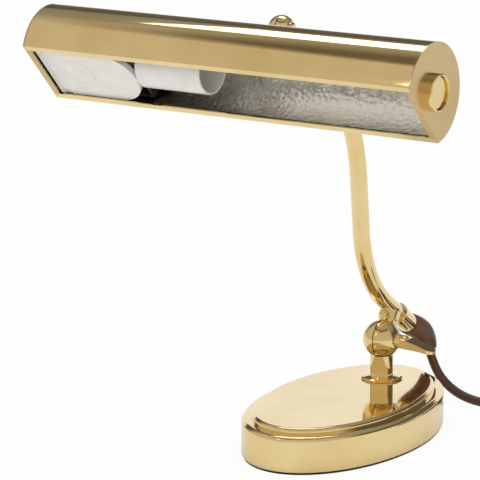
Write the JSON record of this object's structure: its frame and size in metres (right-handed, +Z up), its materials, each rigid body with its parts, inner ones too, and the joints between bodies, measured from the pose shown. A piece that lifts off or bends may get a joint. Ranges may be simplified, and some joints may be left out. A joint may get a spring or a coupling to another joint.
{
  "type": "piano lamp",
  "caption": "Brass piano lamp: weighted oval base, clamped knuckle, S-shaped arm, tilting trough shade with push switch, cord and plug.",
  "frame": {"origin": "centre of the base's oval on the table", "axes": "+Z up, +X along the shade towards its switch, +Y from the shade towards the back of the base"},
  "size_m": [0.3245, 0.3519, 0.2821],
  "materials": {
    "polished_brass": "polished and lacquered",
    "cap_brass": "polished",
    "steel": "zinc plated",
    "iron": "as cast",
    "felt": "felt",
    "hammered_aluminium": "hammered",
    "white_plastic": "gloss",
    "black_plastic": "matt",
    "brown_rubber": "satin",
    "brown_cord": "satin",
    "brown_plug": "satin",
    "grey_fibre": "matt",
    "wire_insulation": "satin",
    "nickel": "bright"
  },
  "bodies": {
    "base": {"base_shell": "polished_brass", "felt_pad": "felt", "base_plate": "steel", "base_weight": "iron", "plate_screw_front": "steel", "plate_screw_rear": "steel", "stem_rod": "steel", "stem_washer": "steel", "stem_nut": "steel", "stem_flange": "polished_brass", "knuckle_stem_half": "polished_brass", "friction_washer": "grey_fibre", "cord_lead": "brown_cord", "cord_coil": "brown_cord", "cord_tail": "brown_cord", "plug_body": "brown_plug", "plug_pin_front": "nickel", "plug_pin_rear": "nickel"},
    "key": {"clamp_key": "polished_brass"},
    "arm": {"knuckle_arm_half": "polished_brass", "arm_tube": "polished_brass", "arm_ferrule": "polished_brass", "cord_boot": "brown_rubber", "arm_lead": "brown_cord", "upper_arm_half": "polished_brass", "upper_washer": "grey_fibre"},
    "shade": {"upper_shade_half": "polished_brass", "pivot_screw": "polished_brass", "neck_collar": "polished_brass", "lock_nut": "steel", "shade_shell": "polished_brass", "shade_cap_left": "cap_brass", "shade_cap_right": "cap_brass", "reflector": "hammered_aluminium", "switch_bezel": "polished_brass", "switch_nut": "steel", "switch_body": "black_plastic", "switch_spring": "steel", "terminal_tray": "black_plastic", "terminal_cover": "white_plastic", "cover_plug": "white_plastic", "cover_screw": "steel", "terminal_block": "white_plastic", "terminal_screw_front": "nickel", "terminal_screw_rear": "nickel", "holder_sleeve": "white_plastic", "holder_core": "white_plastic", "thread_shell": "nickel", "centre_contact": "nickel", "supply_lead": "wire_insulation", "switch_lead_front": "wire_insulation", "switch_lead_rear": "wire_insulation"},
    "button": {"switch_button": "polished_brass"}
  },
  "joints": [
    {"name": "arm_tilt", "type": "hinge", "parent": "base", "child": "arm", "pos_m": [0, 0.0468, 0.0536], "axis": [1, 0, 0], "range_deg": [-12, 40], "deforming": ["cord_lead"]},
    {"name": "clamp_key_turn", "type": "hinge", "parent": "base", "child": "key", "pos_m": [0, 0.0468, 0.0536], "axis": [1, 0, 0], "range_deg": [0, 180]},
    {"name": "shade_tilt", "type": "hinge", "parent": "arm", "child": "shade", "pos_m": [0, -0.0768, 0.2718], "axis": [1, 0, 0], "range_deg": [-35, 45]},
    {"name": "switch_press", "type": "slide", "parent": "shade", "child": "button", "axis": [-1, 0, 0], "range_m": [0, 0.0015], "stiffness_N_per_m": 500, "springref_m": -0.002, "deforming": ["switch_spring"]}
  ]
}
